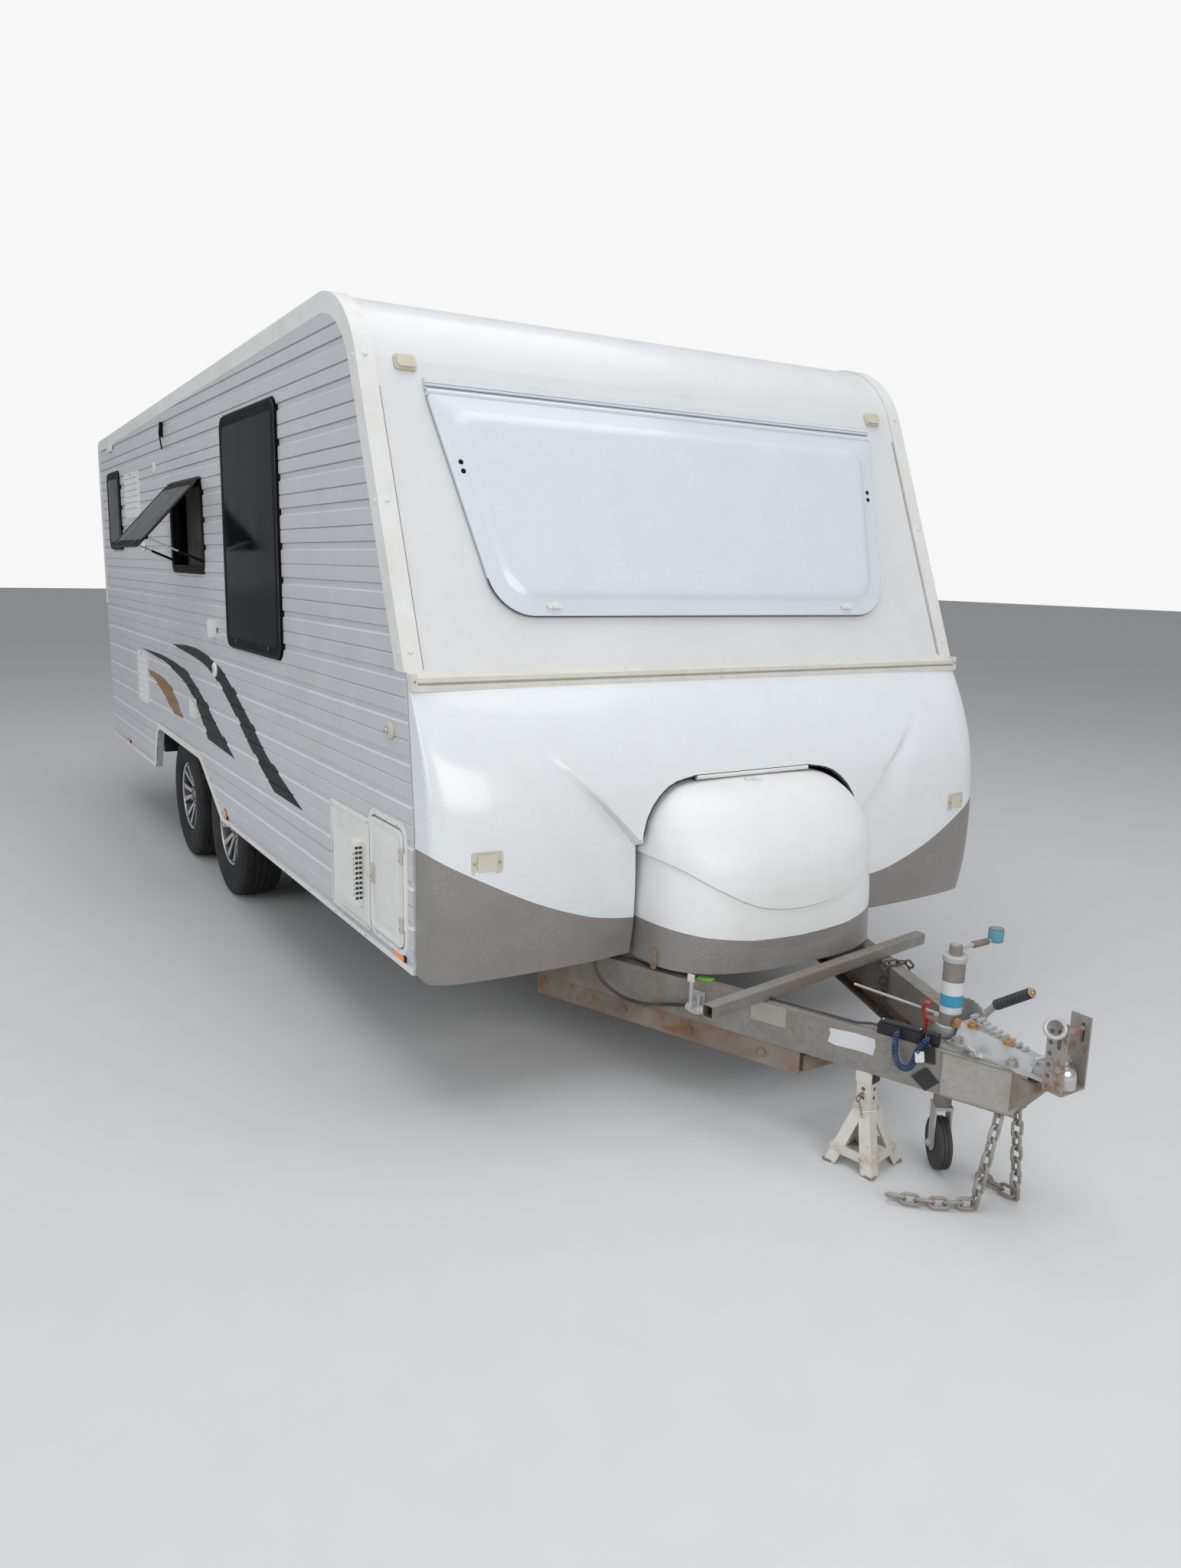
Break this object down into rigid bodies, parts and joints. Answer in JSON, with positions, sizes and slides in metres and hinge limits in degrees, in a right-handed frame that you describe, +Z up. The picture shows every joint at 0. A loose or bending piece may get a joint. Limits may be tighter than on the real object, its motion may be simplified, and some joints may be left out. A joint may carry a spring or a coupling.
{
  "type": "travel caravan",
  "caption": "Towed travel caravan with sloped nose, hinged stone shield, gas locker cover, side doors, A-frame drawbar, jockey wheel and axle stand.",
  "frame": {"origin": "on the ground under the middle of the whole length and width, the open hinged window included", "axes": "+X forwards towards the coupling, +Y to the caravan's left, +Z up"},
  "size_m": [6.94, 2.7113, 2.5865],
  "materials": {
    "cladding": "satin",
    "panel_white": "satin",
    "moulding_white": "gloss",
    "trim_white": "satin",
    "galvanised": "matte",
    "dark_steel": "matte",
    "cast": "matte",
    "tinted": "gloss",
    "amber": "gloss",
    "red": "gloss",
    "lens_cream": "gloss",
    "tyre": "matte",
    "alloy": "satin",
    "black_plastic": "matte",
    "rubber": "matte",
    "stand_paint": "matte",
    "bottle": "satin",
    "awning": "satin",
    "aluminium_step": "satin",
    "cord": "satin"
  },
  "bodies": {
    "caravan": {"floor": "dark_steel", "wheel_wells": "black_plastic", "right_wall": "cladding", "left_wall": "cladding", "roof": "panel_white", "front_upper_panel": "panel_white", "rear_wall": "cladding", "front_lower_moulding": "moulding_white", "gas_locker": "black_plastic", "gas_bottles": "bottle", "corner_mouldings": "trim_white", "belt_trim": "trim_white", "window_frames": "black_plastic", "window_panes": "tinted", "shield_rail": "trim_white", "wall_vents": "trim_white", "roof_hatches": "trim_white", "front_lamps": "lens_cream", "side_markers": "amber", "rear_lamps": "red", "awning": "awning", "chassis": "galvanised", "drawbar": "galvanised", "underslung_frame": "galvanised", "coupling": "cast", "handbrake_lever": "galvanised", "lock_bracket": "galvanised", "cross_tube": "galvanised", "breakaway_box": "black_plastic", "gas_tap": "trim_white", "axle_stand": "stand_paint", "jockey_tube": "galvanised", "axles": "dark_steel", "rear_bumper": "dark_steel", "safety_chains": "galvanised", "rail_chain": "dark_steel", "arch_trims": "trim_white", "breakaway_cord": "cord", "gas_hose": "rubber"},
    "stone_shield": {"stone_shield": "moulding_white"},
    "gas_cover": {"gas_cover": "moulding_white"},
    "access_door": {"access_door": "trim_white"},
    "entry_door": {"entry_door": "trim_white", "door_pane": "tinted"},
    "entry_step": {"entry_step": "aluminium_step"},
    "jockey_leg": {"jockey_leg": "galvanised"},
    "jockey_fork": {"jockey_fork": "galvanised"},
    "jockey_wheel": {"jockey_wheel": "rubber"},
    "steady_front_right": {"steady_front_right": "galvanised"},
    "wheel_front_right": {"tyre_front_right": "tyre", "rim_front_right": "alloy"},
    "steady_front_left": {"steady_front_left": "galvanised"},
    "wheel_front_left": {"tyre_front_left": "tyre", "rim_front_left": "alloy"},
    "steady_rear_right": {"steady_rear_right": "galvanised"},
    "wheel_rear_right": {"tyre_rear_right": "tyre", "rim_rear_right": "alloy"},
    "steady_rear_left": {"steady_rear_left": "galvanised"},
    "wheel_rear_left": {"tyre_rear_left": "tyre", "rim_rear_left": "alloy"}
  },
  "joints": [
    {"name": "shield_lift", "type": "hinge", "parent": "caravan", "child": "stone_shield", "pos_m": [1.626, 0.115, 2.1944], "axis": [0, -1, 0], "range_deg": [0, 80]},
    {"name": "gas_cover_lift", "type": "hinge", "parent": "caravan", "child": "gas_cover", "pos_m": [2.153, 0.115, 1.0037], "axis": [0, -1, 0], "range_deg": [0, 75]},
    {"name": "access_door_swing", "type": "hinge", "parent": "caravan", "child": "access_door", "pos_m": [1.946, -1.0533, 0.685], "axis": [0, 0, 1], "range_deg": [0, 110]},
    {"name": "entry_door_swing", "type": "hinge", "parent": "caravan", "child": "entry_door", "pos_m": [-2.404, 1.2833, 1.405], "axis": [0, 0, -1], "range_deg": [0, 120]},
    {"name": "step_slide", "type": "slide", "parent": "caravan", "child": "entry_step", "axis": [0, 1, 0], "range_m": [0, 0.26]},
    {"name": "jockey_slide", "type": "slide", "parent": "caravan", "child": "jockey_leg", "axis": [0, 0, 1], "range_m": [0, 0.08]},
    {"name": "jockey_swivel", "type": "hinge", "parent": "jockey_leg", "child": "jockey_fork", "pos_m": [3.045, 0.115, 0.19], "axis": [0, 0, 1], "continuous": true},
    {"name": "jockey_wheel_spin", "type": "hinge", "parent": "jockey_fork", "child": "jockey_wheel", "pos_m": [3.045, 0.115, 0.075], "axis": [0.5299, 0.848, 0], "continuous": true},
    {"name": "steady_front_right_swing", "type": "hinge", "parent": "caravan", "child": "steady_front_right", "pos_m": [1.7, -0.845, 0.385], "axis": [0, -1, 0], "range_deg": [0, 55]},
    {"name": "steady_front_left_swing", "type": "hinge", "parent": "caravan", "child": "steady_front_left", "pos_m": [1.7, 1.075, 0.385], "axis": [0, -1, 0], "range_deg": [0, 55]},
    {"name": "steady_rear_right_swing", "type": "hinge", "parent": "caravan", "child": "steady_rear_right", "pos_m": [-3.3, -0.505, 0.385], "axis": [0, 1, 0], "range_deg": [0, 55]},
    {"name": "steady_rear_left_swing", "type": "hinge", "parent": "caravan", "child": "steady_rear_left", "pos_m": [-3.3, 0.735, 0.385], "axis": [0, 1, 0], "range_deg": [0, 55]},
    {"name": "wheel_front_right_spin", "type": "hinge", "parent": "caravan", "child": "wheel_front_right", "pos_m": [-0.57, -0.8825, 0.345], "axis": [0, 1, 0], "continuous": true},
    {"name": "wheel_front_left_spin", "type": "hinge", "parent": "caravan", "child": "wheel_front_left", "pos_m": [-0.57, 1.1125, 0.345], "axis": [0, 1, 0], "continuous": true},
    {"name": "wheel_rear_right_spin", "type": "hinge", "parent": "caravan", "child": "wheel_rear_right", "pos_m": [-1.45, -0.8825, 0.345], "axis": [0, 1, 0], "continuous": true},
    {"name": "wheel_rear_left_spin", "type": "hinge", "parent": "caravan", "child": "wheel_rear_left", "pos_m": [-1.45, 1.1125, 0.345], "axis": [0, 1, 0], "continuous": true}
  ]
}
